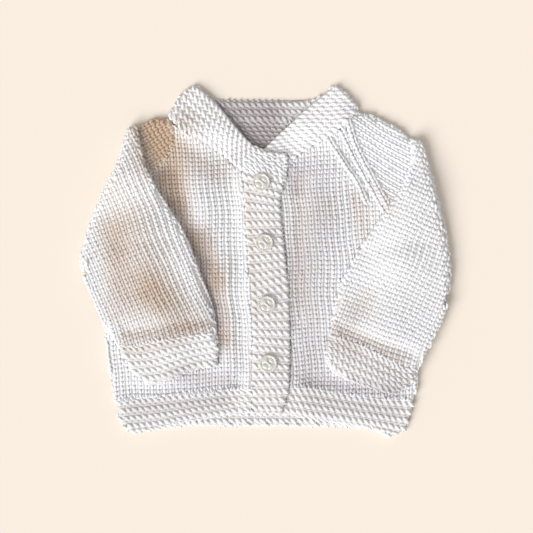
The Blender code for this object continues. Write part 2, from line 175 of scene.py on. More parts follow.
def make_node(tree, kind, settings=None, inputs=()):
    """One node: its settings first, then the values or links of its sockets."""
    made = tree.nodes.new(kind)
    for key, value in (settings or {}).items():
        setattr(made, key, value)
    for key, value in inputs.items() if isinstance(inputs, dict) else enumerate(inputs):
        feed(tree, made.inputs[key], value)
    return made


class Maths:
    """A socket with its arithmetic."""

    def __init__(self, build, socket):
        self.build = build
        self.socket = socket

    def _math(self, operation, first, second=None):
        inputs = [first, second] if second is not None else [first]
        made = self.build.node("ShaderNodeMath", {"operation": operation}, inputs)
        return Maths(self.build, made.outputs[0])

    def __add__(self, other):
        return self._math("ADD", self, other)

    def __radd__(self, other):
        return self._math("ADD", other, self)

    def __sub__(self, other):
        return self._math("SUBTRACT", self, other)

    def __rsub__(self, other):
        return self._math("SUBTRACT", other, self)

    def __mul__(self, other):
        return self._math("MULTIPLY", self, other)

    def __rmul__(self, other):
        return self._math("MULTIPLY", other, self)

    def sine(self):
        return self._math("SINE", self)

    def clamp(self):
        return self._math("MINIMUM", self._math("MAXIMUM", self, 0.0), 1.0)


class Finish:
    """Builds one node material on a Principled shader."""

    def __init__(self, name):
        self.material = bpy.data.materials.new(name)
        self.material.use_nodes = True
        self.tree = self.material.node_tree
        self.shader = self.tree.nodes["Principled BSDF"]

    def node(self, kind, settings=None, inputs=()):
        return make_node(self.tree, kind, settings, inputs)

    def value(self, socket):
        return Maths(self, socket)

    def noise(self, scale, detail, where):
        settings = {"noise_dimensions": "3D"}
        made = self.node("ShaderNodeTexNoise", settings, {"Vector": where, "Scale": scale, "Detail": detail})
        return self.value(made.outputs[0])

    def mix(self, factor, first, second):
        inputs = {"Factor": factor, 6: first, 7: second}
        return self.node("ShaderNodeMix", {"data_type": "RGBA"}, inputs).outputs[2]

    def with_painted_light(self, plain, warm_shade, grey_shade, highlight, mottle=0.0):
        """A colour with painted highlight, painted warm shade and painted grey shade mixed in by amounts the
        mesh carries.
        """
        tint = self.node("ShaderNodeAttribute", {"attribute_name": "tint"}).outputs["Vector"]
        parts = [self.value(part) for part in self.node("ShaderNodeSeparateXYZ", {}, [tint]).outputs]
        lit = self.mix(parts[2].clamp(), plain, highlight)
        warm_shaded = self.mix((parts[0] + mottle).clamp(), lit, warm_shade)
        return self.mix(parts[1].clamp(), warm_shaded, grey_shade)

    def bump(self, height, distance, strength=1.0):
        made = self.node("ShaderNodeBump", {}, {"Strength": strength, "Distance": distance, "Height": height})
        self.set(Normal=made.outputs[0])

    def set(self, **values):
        for key, value in values.items():
            feed(self.tree, self.shader.inputs[key.replace("_", " ")], value)


def yarn_material():
    """White yarn of three plies, slightly fuzzy, with painted warm shade, grey shade and highlight mixed in.
    """
    finish = Finish("white_yarn")
    where = finish.node("ShaderNodeTexCoord").outputs["Object"]
    around = finish.node("ShaderNodeUVMap", {"uv_map": "strand"}).outputs[0]
    split = finish.node("ShaderNodeSeparateXYZ", {}, [around])
    along = finish.value(split.outputs[0])
    round_it = finish.value(split.outputs[1])
    plies = (along * PLY_TURNS + round_it * THREE_PLIES).sine()
    mottle = finish.noise(70.0, 2.0, where)
    fibres = finish.noise(2600.0, 3.0, where)
    # Painted shade and highlight on the white, with a random mottle added to the amount of warm shade
    colour = finish.with_painted_light(WHITE, WARM_SHADE_PAINT, GREY_SHADE_PAINT, HIGHLIGHT_PAINT, (mottle - 0.5) * 0.12)
    finish.set(Base_Color=colour, Roughness=0.82, Sheen_Weight=0.25, Sheen_Roughness=0.5,
               Specular_IOR_Level=0.2)
    finish.bump(plies * 0.5 + fibres * 0.6, 0.00016, 0.6)
    return finish.material


def core_painted_shade_material():
    """The same yarn seen deep between the stitches, painted darker as the shade there."""
    finish = Finish("yarn_core")
    where = finish.node("ShaderNodeTexCoord").outputs["Object"]
    strands = finish.noise(900.0, 3.0, where)
    plain = finish.mix(strands, *DEEP_SHADE_PAINT_PAIR)
    # Painted warm shade, grey shade and highlight, as on the outer yarn
    colour = finish.with_painted_light(plain, DEEP_WARM_SHADE_PAINT, DEEP_GREY_SHADE_PAINT, DEEP_HIGHLIGHT_PAINT)
    finish.set(Base_Color=colour, Roughness=0.95, Specular_IOR_Level=0.1)
    finish.bump(strands, 0.0004, 0.8)
    return finish.material


def button_material():
    """Cloudy moulded plastic, half clear and a little warm."""
    finish = Finish("clear_plastic")
    where = finish.node("ShaderNodeTexCoord").outputs["Object"]
    cloud = finish.noise(220.0, 2.0, where)
    colour = finish.mix(cloud, *PLASTIC_PAIR)
    finish.set(Base_Color=colour, Roughness=0.16, Transmission_Weight=0.4, IOR=1.4, Coat_Weight=0.25)
    return finish.material


def floor_material():
    """Plain pale paper."""
    finish = Finish("pale_floor")
    finish.set(Base_Color=FLOOR_COLOUR, Roughness=1.0, Specular_IOR_Level=0.0)
    return finish.material


# ---------------------------------------------------------------- cores of the knitted pieces
RAY_HEIGHT = 50.0      # mm, where rays towards a core start, above or below it
RIM_HEIGHT = 30.0      # mm, where the nearest rim is looked for from
LEVEL = 0.5            # a place whose normal rises more than this isn't rolled over a rim
PAST_RIM = 2.0         # mm that rows may go on past a rim, beyond the height of the piece
RIM_BLUR = 0.05        # mm, nearer to the rim than this a place has no way out
RIM_STEP = 1.0         # mm, nearer than this a steep place stays where it is
WALL_AIM = 3.0         # mm outside the rim, from where a wall is looked for
WALL_MISS = 1.2        # mm that the wall found may be higher or lower than the aim
OUTWARD = 0.4          # a wall's own normal is used where it points outwards more than this
UNDERCUT = -0.3        # and upwards more than this
DOUBLES = 0.01         # mm, corners nearer than this are merged


def link_object(name, data):
    """A new object in the scene."""
    made = bpy.data.objects.new(name, data)
    bpy.context.collection.objects.link(made)
    return made


def add_piece(name, shape, material):
    """Turn a finished bmesh into a piece with one material, shaded smooth."""
    mesh = bpy.data.meshes.new(name)
    shape.to_mesh(mesh)
    shape.free()
    mesh.materials.append(material)
    mesh.shade_smooth()
    return link_object(name, mesh)


def core_shape(node):
    """The node's solid, merged, refined, drawn in a little and raised by the swells."""
    shape = bmesh.new()
    shape.from_mesh(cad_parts[node].data)
    bmesh.ops.remove_doubles(shape, verts=shape.verts, dist=DOUBLES * MM)
    for _ in range(REFINE_PASSES):
        long_edges = [edge for edge in shape.edges if edge.calc_length() > CORE_EDGE * MM]
        bmesh.ops.subdivide_edges(shape, edges=long_edges, cuts=1)
        bmesh.ops.triangulate(shape, faces=[face for face in shape.faces if len(face.verts) > 3])
    shape.normal_update()
    grow = Vector((SEAM_CLOSE, SEAM_CLOSE, -CORE_INSET)) * MM
    inset = [vert.co + vert.normal * grow for vert in shape.verts]
    lifted = lift(np.array(inset) / MM)
    lifted[:, 2] = np.maximum(lifted[:, 2], UNDER_ROOM)
    lifted *= MM
    for vert, place in zip(shape.verts, lifted):
        vert.co = place
    shape.normal_update()
    return shape


class Core:
    """The core of one knitted piece: its object, its surface and its bounds."""

    def __init__(self, node, material):
        self.node = node
        shape = core_shape(node)
        self.tree = BVHTree.FromBMesh(shape)
        self.piece = add_piece(node + "_core", shape, material)
        paint_shade_and_highlight(self.piece.data, node)
        corners = np.array([vert.co for vert in self.piece.data.vertices])
        self.low, self.high = corners.min(axis=0), corners.max(axis=0)

    def top(self, x, y, side):
        """Where a ray from above (side 1) or below (side -1) first meets the piece."""
        start = Vector((x, y, RAY_HEIGHT * MM * side))
        place, normal, _, _ = self.tree.ray_cast(start, Vector((0, 0, -side)))
        return (place, normal) if place is not None else None

    def lay(self, x, y, side=1):
        """Place and normal of a point of the cloth, rolled over the rim where it runs past."""
        hit = self.top(x, y, side)
        if hit is not None and hit[1].z * side > LEVEL:
            return hit
        rim = self.tree.find_nearest(Vector((x, y, RIM_HEIGHT * MM * side)))[0]
        out = Vector((x - rim.x, y - rim.y, 0.0))
        gap = out.length
        too_far = gap > self.high[2] + PAST_RIM * MM
        too_near = gap < RIM_BLUR * MM or (hit is not None and gap < RIM_STEP * MM)
        if too_far or too_near:
            return hit
        out.normalize()
        aim = Vector((rim.x, rim.y, rim.z - side * gap)) + out * WALL_AIM * MM
        place, normal, _, _ = self.tree.find_nearest(aim)
        if abs(place.z - aim.z) > WALL_MISS * MM:
            return None
        return place, (normal if normal.dot(out) > OUTWARD and normal.z * side > UNDERCUT else out)


# ---------------------------------------------------------------- one stitch of each kind, in mm
TIP = 0.35             # a strand's tips reach out this share of its last step

# A leg of a knit stitch leans out from its foot, with sunk ends and its middle bowed up
LEG_FOOT = 0.3
LEG_LEAN = 1.35
LEG_FROM, LEG_RUN = -0.62, 1.28        # along the stitch, as shares of a row
LEG_SINK, LEG_BOW = -0.85, 1.3
LEG_STAGGER = 0.22     # the left leg lies this much above the middle, the right leg below
LEG_THIN, LEG_FULL = 0.48, 0.52        # shares of the yarn's radius: at the ends, and added between
LEG_FLAT = 0.9

# The head of a purl stitch: a share of half a stitch across, a share of its lean, a height
PURL_HEAD = [(-1.02, 0.3, -0.8), (-0.66, 0.98, 0.0), (-0.22, 0.5, 0.6), (0.22, -0.5, 0.6),
             (0.66, -0.98, -0.05), (1.02, -0.3, -0.8)]
PURL_RADII = (0.55, 0.88, 1.0, 1.0, 0.88, 0.55)
PURL_FLAT = 0.92


def strand(path, radii, flat, sides=6):
    """A closed strand of yarn along a path in mm: vertices, faces and (along, around) per corner."""
    points = [Vector(point) for point in path]
    verts, faces, uvs = [], [], []
    count = len(points)
    for k, point in enumerate(points):
        run = (points[min(k + 1, count - 1)] - points[max(k - 1, 0)]).normalized()
        across = run.cross(Vector((0, 0, 1))).normalized()
        over = across.cross(run).normalized()
        for s in range(sides):
            turn = 2 * math.pi * s / sides
            ring = across * math.cos(turn) * radii[k] + over * math.sin(turn) * radii[k] * flat
            verts.append(point + ring)
    for k in range(count - 1):
        for s in range(sides):
            n = (s + 1) % sides
            faces.append((k * sides + s, k * sides + n, (k + 1) * sides + n, (k + 1) * sides + s))
            low, high = k / (count - 1), (k + 1) / (count - 1)
            uvs += [(low, s / sides), (low, (s + 1) / sides), (high, (s + 1) / sides), (high, s / sides)]
    for ring, tip, spin in ((0, points[0] * 2 - points[1], -1), (count - 1, points[-1] * 2 - points[-2], 1)):
        tip_index = len(verts)
        verts.append((points[0] if ring == 0 else points[-1]).lerp(tip, TIP))
        for s in range(sides):
            n = (s + 1) % sides
            pair = (ring * sides + s, ring * sides + n)
            faces.append((*(pair if spin > 0 else reversed(pair)), tip_index))
            uvs += [(ring / (count - 1), s / sides)] * 3
    return verts, faces, uvs


def stitch_object(name, strands):
    """One prototype stitch from its strands, in metres."""
    verts, faces, uvs = [], [], []
    for part_verts, part_faces, part_uvs in strands:
        start = len(verts)
        verts += [vert * MM for vert in part_verts]
        faces += [tuple(start + index for index in face) for face in part_faces]
        uvs += part_uvs
    mesh = bpy.data.meshes.new(name)
    mesh.from_pydata(verts, [], faces)
    layer = mesh.uv_layers.new(name="strand")
    layer.data.foreach_set("uv", np.array(uvs).ravel())
    shape = bmesh.new()
    shape.from_mesh(mesh)
    bmesh.ops.recalc_face_normals(shape, faces=shape.faces)
    shape.to_mesh(mesh)
    shape.free()
    mesh.shade_smooth()
    return link_object(name, mesh)


def knit_stitch(name, rings=5, sides=6):
    """The two legs of a plain knit stitch."""
    strands = []
    for side in (-1, 1):
        path, radii = [], []
        for k in range(rings):
            t = k / (rings - 1)
            bow = math.sin(math.pi * t)
            height = LEG_SINK + LEG_BOW * bow - LEG_STAGGER * side
            path.append((side * (LEG_FOOT + LEG_LEAN * t), (LEG_FROM + LEG_RUN * t) * ROW, height))
            radii.append(YARN * (LEG_THIN + LEG_FULL * bow ** 0.7))
        strands.append(strand(path, radii, LEG_FLAT, sides))
    return stitch_object(name, strands)


def purl_bump(name, lean, radius=1.0, sink=0.0):
    """The head of a purl stitch: a strand that leans across its ridge and dips at both ends."""
    half = STITCH / 2
    path = [(across * half, share * lean, height - sink) for across, share, height in PURL_HEAD]
    return stitch_object(name, [strand(path, [share * radius for share in PURL_RADII], PURL_FLAT)])


# ---------------------------------------------------------------- laying stitches on the cores
def build_laying_tree():
    """Geometry nodes that put one stitch on each point, turned and sized by its attributes."""
    tree = bpy.data.node_groups.new("Lay stitches", "GeometryNodeTree")
    for name, kind in (("Points", "Geometry"), ("Stitch", "Object"), ("Yarn", "Material"),
                       ("Unevenness", "Float"), ("Wander", "Float"), ("Seed", "Int")):
        tree.interface.new_socket(name, in_out="INPUT", socket_type="NodeSocket" + kind)
    tree.interface.new_socket("Knitting", in_out="OUTPUT", socket_type="NodeSocketGeometry")

    def node(kind, settings=None, inputs=()):
        return make_node(tree, kind, settings, inputs)

    def attribute(name):
        settings = {"data_type": "FLOAT_VECTOR"}
        return node("GeometryNodeInputNamedAttribute", settings, {"Name": name}).outputs[0]

    def vector_maths(operation, first, second):
        return node("ShaderNodeVectorMath", {"operation": operation}, [first, second]).outputs[0]

    def random_vector(spread, salt):
        seed = node("ShaderNodeMath", {"operation": "ADD"}, [given["Seed"], salt]).outputs[0]
        inputs = {0: (-1.0, -1.0, -1.0), 1: (1.0, 1.0, 1.0), "Seed": seed}
        drawn = node("FunctionNodeRandomValue", {"data_type": "FLOAT_VECTOR"}, inputs).outputs[0]
        return node("ShaderNodeVectorMath", {"operation": "SCALE"}, {0: drawn, "Scale": spread}).outputs[0]

    given = node("NodeGroupInput").outputs
    turn = vector_maths("ADD", attribute("turn"), random_vector(given["Wander"], 1))
    uneven = vector_maths("ADD", (1.0, 1.0, 1.0), random_vector(given["Unevenness"], 2))
    placed = node("GeometryNodeInstanceOnPoints", {}, {
        "Points": given["Points"],
        "Instance": node("GeometryNodeObjectInfo", {}, {"Object": given["Stitch"]}).outputs["Geometry"],
        "Rotation": node("FunctionNodeEulerToRotation", {}, [turn]).outputs[0],
        "Scale": vector_maths("MULTIPLY", attribute("size"), uneven)})
    realized = node("GeometryNodeRealizeInstances", {}, [placed.outputs[0]])
    dyed = node("GeometryNodeSetMaterial", {}, {"Geometry": realized.outputs[0], "Material": given["Yarn"]})
    node("NodeGroupOutput", {}, [dyed.outputs[0]])
    return tree


UNEVENNESS = 0.1       # share by which the stitches vary in size
WANDER = 0.13          # radians by which they vary in direction


class Knitting:
    """The stitch places of one piece, by kind of stitch, and the mesh they make."""

    def __init__(self, core):
        self.core = core
        self.rows = {}

    def add(self, kind, place, normal, up, size=(1.0, 1.0, 1.0)):
        """One stitch at a place on the cloth, its rows growing towards up."""
        side = Vector((up.y, -up.x, 0.0))
        if abs(up.dot(normal)) < abs(side.dot(normal)):
            across = up.cross(normal).normalized()
        else:
            across = (side - normal * side.dot(normal)).normalized()
        grow = normal.cross(across).normalized()
        turn = Matrix((across, grow, normal)).transposed().to_euler()
        self.rows.setdefault(kind, []).append((tuple(place), tuple(turn), size))

    def make(self, tree, prototypes, yarns):
        """Realize the stitches of every kind and join them into one mesh."""
        made = []
        for number, (kind, rows) in enumerate(sorted(self.rows.items())):
            mesh = bpy.data.meshes.new(self.core.node + "_" + kind)
            mesh.from_pydata([row[0] for row in rows], [], [])
            for name, column in (("turn", 1), ("size", 2)):
                layer = mesh.attributes.new(name, "FLOAT_VECTOR", "POINT")
                layer.data.foreach_set("vector", np.array([row[column] for row in rows]).ravel())
            paint_shade_and_highlight(mesh, self.core.node)
            points = link_object(mesh.name, mesh)
            modifier = points.modifiers.new("Lay stitches", "NODES")
            modifier.node_group = tree
            # Groove loops take the darker core yarn, as painted shade in the garter grooves
            yarn = yarns["painted_shade_core" if kind == "groove" else "outer"]
            inputs = {"Stitch": prototypes[kind], "Yarn": yarn, "Unevenness": UNEVENNESS,
                      "Wander": WANDER, "Seed": SEED + number}
            for item in tree.interface.items_tree:
                if item.in_out == "INPUT" and item.name in inputs:
                    modifier[item.identifier] = inputs[item.name]
            graph = bpy.context.evaluated_depsgraph_get()
            made.append(bpy.data.meshes.new_from_object(points.evaluated_get(graph)))
            bpy.data.objects.remove(points)
        shape, *others = [link_object(self.core.node + "_stitches", mesh) for mesh in made]
        if others:
            with bpy.context.temp_override(active_object=shape, selected_editable_objects=[shape, *others]):
                bpy.ops.object.join()
        for name in ("turn", "size"):
            if name in shape.data.attributes:
                shape.data.attributes.remove(shape.data.attributes[name])
        places = np.empty(3 * len(shape.data.vertices))
        shape.data.vertices.foreach_get("co", places)
        places[2::3] = np.maximum(places[2::3], RESTING * MM)
        shape.data.vertices.foreach_set("co", places)
        return shape


# ---------------------------------------------------------------- where the stitches go, in mm
# Edges of the garter bands: near is the edge towards the neck, or a front band's sewn edge
BANDS = {
    "neckband_front": {
        "near": [(15.0, 77.0), (8.0, 77.4), (1.0, 77.6), (-6.0, 80.5), (-14.0, 88.0), (-22.5, 98.0),
                 (-28.5, 106.0), (-34.5, 113.5), (-42.0, 120.0), (-48.5, 125.2)],
        "far": [(14.0, 56.0), (0.0, 60.0), (-16.3, 65.0), (-22.0, 69.5), (-28.0, 75.3), (-37.0, 81.0),
                (-46.0, 87.8), (-54.0, 91.4), (-62.0, 96.6), (-68.2, 103.2)],
    },
    "neckband_back": {
        "near": [(-48.5, 125.2), (-42.5, 118.5), (-35.5, 115.2), (-20.0, 114.6), (0.0, 114.5),
                 (20.0, 114.8), (36.5, 115.6), (43.5, 118.5), (49.8, 125.0)],
        "far": [(-68.2, 103.2), (-57.0, 97.2), (-45.0, 97.0), (-24.0, 99.4), (0.0, 100.0),
                (24.0, 99.6), (43.0, 98.4), (53.0, 101.5), (66.8, 107.6)],
    },
    "neckband_under": {
        "near": [(49.8, 125.0), (43.0, 119.4), (37.5, 115.0), (29.0, 108.0), (21.5, 100.8),
                 (14.5, 94.5), (8.0, 88.2), (1.0, 81.4), (-4.0, 77.4), (-9.0, 76.0)],
        "far": [(66.8, 107.6), (58.5, 101.5), (53.5, 94.5), (46.5, 89.4), (38.5, 85.6), (31.0, 81.0),
                (23.0, 75.3), (13.0, 63.0), (2.0, 60.4), (-9.0, 63.4)],
    },
    "buttonhole_band": {
        "near": [(-16.3, 64.5), (-15, 52), (-13.6, 31), (-12, 2), (-9.8, -27), (-8.7, -57), (-9.3, -92),
                 (-9.0, -107.8)],
        "far": [(14, 55.5), (10.8, 45), (11.5, 31), (14.6, 4), (17.2, -20), (18.2, -60), (17.6, -91),
                (12.0, -108.6)],
    },
    "right_front_hem": {
        "near": [(-107, -99.7), (-69, -96), (-28.5, -92.5), (-9.3, -92)],
        "far": [(-100, -121.5), (-80, -119.6), (-50, -113.6), (-9, -107.8)],
    },
    "left_front_hem": {
        "near": [(17.6, -91), (33, -91.3), (58, -95.5), (83, -99), (107, -99.7)],
        "far": [(12, -108.6), (30, -112), (54, -115), (77, -118.6), (97, -123.0)],
    },
    "back_hem": {
        "near": [(-107, -99.7), (-69, -96), (-28.5, -92.5), (0, -92), (33, -91.3), (83, -99),
                 (107, -99.7)],
        "far": [(-96, -122), (-65, -118.8), (-30, -117.4), (0, -117.4), (34, -117.6), (73, -119.5),
                (95, -124)],
    },
    "right_cuff": {
        "near": [(-104, -60), (-92, -61), (-72, -56.4), (-52, -53.3), (-35, -51.5)],
        "far": [(-88, -87), (-70.3, -84.2), (-58.7, -79.9), (-47, -76), (-35, -74)],
    },
    "left_cuff": {
        "near": [(47.2, -53), (66.6, -59.4), (86.3, -69), (100, -76.5), (109, -77)],
        "far": [(45.5, -73), (51, -80), (66.6, -86.4), (79, -90.6), (95, -94)],
    },
}
RIDGES_ALONG = {"neckband_front": 6, "neckband_back": 3, "neckband_under": 6, "right_front_hem": 4,
                "left_front_hem": 4, "back_hem": 5, "right_cuff": 5, "left_cuff": 5}
BAND_RIDGE = 6.0       # ridges of the front bands, which run across them

# Ways the rows grow on a sleeve: on the part laid out from the raglan and on the part folded back
RIGHT_LAID = (0.864, 0.5)
RIGHT_FOLDED = (-0.383, 0.923)
LEFT_LAID = (-0.864, 0.5)
LEFT_FOLDED = (0.383, 0.923)
PLAIN = [
    # node, way its rows grow, part
    ("right_front", (-0.05, 1.0), "all"),
    ("left_front", (-0.06, 1.0), "all"),
    ("right_sleeve", RIGHT_FOLDED, "folded"),
    ("right_sleeve", RIGHT_LAID, "laid"),
    ("left_sleeve", LEFT_FOLDED, "folded"),
    ("left_sleeve", LEFT_LAID, "laid"),
]
UNDER_GROWTH = {"right_sleeve": RIGHT_LAID, "left_sleeve": LEFT_LAID}
CUFF_GROWTH = {"right_cuff": RIGHT_FOLDED, "left_cuff": LEFT_FOLDED}
# Raised single wales along the left raglan: the seam and the line of decreases beside it
RAISED_WALES = [
    ("left_front", [(45.0, 89.3), (50.0, 81.4), (60.1, 65.5), (65.9, 58.3), (73.8, 41.0)]),
    ("left_front", [(56.0, 92.5), (59.6, 84.0), (65.3, 72.3), (73.2, 58.0), (81.2, 44.2), (88.0, 32.5)]),
    ("left_sleeve", [(59.8, 100.0), (64.4, 85.5), (70.2, 73.2), (77.8, 59.2), (85.8, 44.5), (90.0, 37.0)]),
]
WALE_RAISE = 0.7       # raised wales stand this much above the cloth
WALE_SIZE = (1.15, 1.1, 1.4)
DRIFT = 0.8            # how much the rows wander, as a share of the waves in drift()
WRAP = 16.0            # the rows are carried on this far, to go round the folds
WALE_CLEAR = 1.8       # the plain stitches stop this far from a raised wale
FOLDED_FROM = 5.4      # the folded part of a sleeve is higher than this, before the swells
LOWEST_LAYER = 2.4     # the back layer is lower than this
# Single loops that close the deep corner beside the end of the neckband
GAP_STITCHES = {"left_front": [(18.2, 67.4), (17.0, 64.8), (16.5, 62.4)], "neckband": [(17.8, 69.2)]}
GAP_HEIGHT = 6.0
BAND_OVERLAP = 1.6     # edge stitches of a front band lie this far past its edges
FREE_EDGE = 0.96       # loops lie this far past a band's free edge
SEWN_EDGE = -0.25      # and past its sewn edge
WALK_STEPS = 400       # fine steps in which a line of a strip is measured
WALK_FROM, WALK_SPAN = -0.06, 1.12     # shares of its length, a little past both ends
BARE_WALL = 2.6        # a wall is bare where no stitch is nearer than this
BARE_TOP = 4.0         # and so is a flatter part
WALL = 0.6             # a face is a wall when its normal rises less than this
FILL_FROM = 1.3        # lower places are left to the flattened stitches beneath


class Strip:
    """A band of garter stitch between two edges, whose points are pairs."""

    def __init__(self, name):
        self.near = [Vector((*point, 0.0)) for point in BANDS[name]["near"]]
        self.far = [Vector((*point, 0.0)) for point in BANDS[name]["far"]]
        middle = [near.lerp(far, 0.5) for near, far in zip(self.near, self.far)]
        self.steps = [(b - a).length for a, b in zip(middle, middle[1:])]

    def at(self, u, v):
        """The point at shares u of the length and v of the width, which may run past the ends."""
        left = u * sum(self.steps)
        for index, step in enumerate(self.steps):
            if left <= step or index == len(self.steps) - 1:
                near = self.near[index].lerp(self.near[index + 1], left / step)
                return near.lerp(self.far[index].lerp(self.far[index + 1], left / step), v)
            left -= step

    def length(self, v):
        points = [self.at(k / 20, v) for k in range(21)]
        return sum((b - a).length for a, b in zip(points, points[1:]))

    def width(self, u):
        return (self.at(u, 1.0) - self.at(u, 0.0)).length

    def walk(self, v, start):
        """Points a stitch apart along the line at v, each with the way its rows grow."""
        line = [self.at(WALK_FROM + WALK_SPAN * k / WALK_STEPS, v) for k in range(WALK_STEPS + 1)]
        left = start * STITCH
        for a, b in zip(line, line[1:]):
            left -= (b - a).length
            if left <= 0.0:
                left += STITCH
                run = (b - a).normalized()
                up = Vector((-run.y, run.x, 0.0))
                near_way = self.at(0.5, 0.0) - self.at(0.5, 1.0)
                yield b, up if up.dot(near_way) > 0 else -up


# Soft patches of painted shade and painted highlight on the white yarn: warm shade, grey shade and highlight,
# along segments from x, y to x, y with a half width, in mm, and an amount
ANY = "any"
# Painted warm shade: the tan of the creases, the troughs and the shaded sleeve cap
WARM_SHADE_PATCHES = {
    "right_sleeve": [(-82, 96, -76, 74, 13.5, 1.0), (-71, 97, -67, 86, 8.0, 0.6),
                     (-98, 24, -82, -22, 20.0, 0.42), (-80, -20, -58, -40, 13.0, 0.42),
                     (-108, 20, -104, -34, 10.0, 0.3), (-98, -55, -42, -46, 5.5, 0.4),
                     (-112, 50, -104, 64, 10.0, 0.2)],
    "right_cuff": [(-98, -62, -60, -54, 6.0, 0.3)],
    "right_front": [(-70, 84, -67, 60, 13.0, 0.75), (-69, 60, -63, 42, 8.0, 0.55),
                    (-63, 42, -50, 12, 7.0, 0.6), (-46, 14, -37, -14, 8.5, 0.85),
                    (-37, -16, -29, -56, 7.5, 0.6), (-54, 78, -34, 64, 9.0, 0.34)],
    "left_sleeve": [(52, -49, 96, -70, 6.0, 0.36), (64, -38, 72, -30, 9.0, 0.25),
                    (78, 50, 86, 40, 8.0, 0.25)],
    "left_cuff": [(48, -56, 64, -62, 7.0, 0.25)],
    "left_front": [(24, 56, 25, -30, 6.0, 0.3), (66, 46, 74, 10, 6.0, 0.3), (44, 40, 34, 30, 8.0, 0.15)],
    "buttonhole_band": [(-12, 48, -9, -40, 5.0, 0.2)],
    "back": [(-30, 112, 30, 96, 40.0, 0.32)],
    "neckband": [(-60, 98, -56, 100, 9.0, 0.3)],
}
INSIDE_GREY_SHADE = (3.8, 4.8)       # z over which the neckband's painted grey shade ends, inside the neck
# Painted grey shade: in the troughs, above the hems and cuffs, and inside the neck
GREY_SHADE_PATCHES = {
    "back": [(-28, 104, -2, 90, 17.0, 0.95), (16, 104, 6, 88, 12.0, 0.3)],
    "neckband": [(-34, 108, 0, 106, 12.0, 0.9), (12, 106, 36, 104, 10.0, 0.4)],
    "left_front": [(44, 66, 34, 10, 18.0, 0.18), (34, 10, 34, -80, 18.0, 0.25)],
    "right_front": [(-70, 64, -60, 38, 8.0, 0.35)],
    "left_cuff": [(56, -62, 96, -84, 14.0, 0.25)],
    "left_sleeve": [(50, -50, 98, -72, 5.5, 0.16)],
    "right_sleeve": [(-98, -57, -42, -48, 5.0, 0.12)],
    ANY: [(-62, -82, -24, -86, 7.0, 0.45), (30, -86, 96, -94, 6.0, 0.5), (-94, -106, -30, -100, 6.0, 0.3),
          (34, -100, 92, -108, 7.0, 0.35), (32, 62, 44, 30, 12.0, 0.25), (30, -10, 32, -70, 12.0, 0.2),
          (22, 66, 20, 52, 6.0, 0.4), (-46, 18, -34, -40, 8.0, 0.6), (-48, 74, -28, 56, 9.0, 0.16),
          (64, -36, 58, -50, 8.0, 0.2)],
}
# Painted highlight: where the swells face the light
HIGHLIGHT_PATCHES = {
    "right_sleeve": [(-112, 48, -88, 46, 18.0, 1.0), (-70, 16, -60, -10, 8.0, 0.5)],
    "left_sleeve": [(104, 40, 96, 0, 26.0, 0.35), (78, 84, 100, 74, 10.0, 0.2)],
    "right_front": [(-24, 50, -24, -30, 8.0, 0.35), (-58, 92, -46, 80, 8.0, 0.8)],
    "left_front": [(42, 84, 60, 60, 10.0, 0.7), (50, 0, 46, -40, 10.0, 0.3)],
    "neckband": [(-50, 112, -24, 84, 9.0, 0.6), (50, 112, 30, 92, 14.0, 0.75)],
    "right_cuff": [(-70, -70, -40, -62, 8.0, 0.4)],
}


def paint_shade_and_highlight(mesh, node):
    """Give a mesh the attribute of painted light: how much painted warm shade, grey shade and highlight lies
    at each vertex.
    """
    places = np.empty(3 * len(mesh.vertices))
    mesh.vertices.foreach_get("co", places)
    x, y = places[0::3] / MM, places[1::3] / MM
    parts = []
    for table in (WARM_SHADE_PATCHES, GREY_SHADE_PATCHES, HIGHLIGHT_PATCHES):
        segments = table.get(node, []) + table.get(ANY, [])
        parts.append(np.clip(swell_height(segments, x, y), 0.0, 1.0))
    # On the neckband the painted grey shade stays only on the low parts, inside the neck
    if node == "neckband":
        parts[1] *= 1.0 - smooth_step(*INSIDE_GREY_SHADE, places[2::3] / MM)
    layer = mesh.attributes.new("tint", "FLOAT_VECTOR", "POINT")
    layer.data.foreach_set("vector", np.stack(parts, axis=1).ravel())


SIGHT_RAISE = 2.0      # mm above the cloth, where the ways out to the open start
SIGHT = 30.0           # mm, how far they are followed
STITCH_MIDDLE = 1.2    # mm, how high the middle of a stitch is
STITCH_ROOM = 0.25     # mm that it keeps from other pieces


class Layout:
    """All the cores, and whether a stitch shows and has room among them."""

    def __init__(self, cores):
        self.cores = cores

    def hidden(self, place, normal):
        """Whether other pieces cover a place from above and from all four sides."""
        start = place + normal * SIGHT_RAISE * MM
        for tilt in ((0, 0), (1, 0), (-1, 0), (0, 1), (0, -1)):
            way = Vector((*tilt, normal.z if abs(normal.z) > LEVEL else 1.0)).normalized()
            met = (core.tree.ray_cast(start, way, SIGHT * MM)[0] for core in self.cores.values())
            if all(spot is None for spot in met):
                return False
        return True

    def squeezed(self, node, place, normal):
        """Whether another piece leaves no room for a stitch at a place."""
        middle = place + normal * STITCH_MIDDLE * MM
        for name, core in self.cores.items():
            if name != node:
                near = core.tree.find_nearest(middle, STITCH_ROOM * MM)
                if near[0] is not None:
                    return True
        return False

    def fits(self, node, hit):
        """Whether a stitch of the node shows and has room where the hit says."""
        return not self.squeezed(node, *hit) and not self.hidden(*hit)


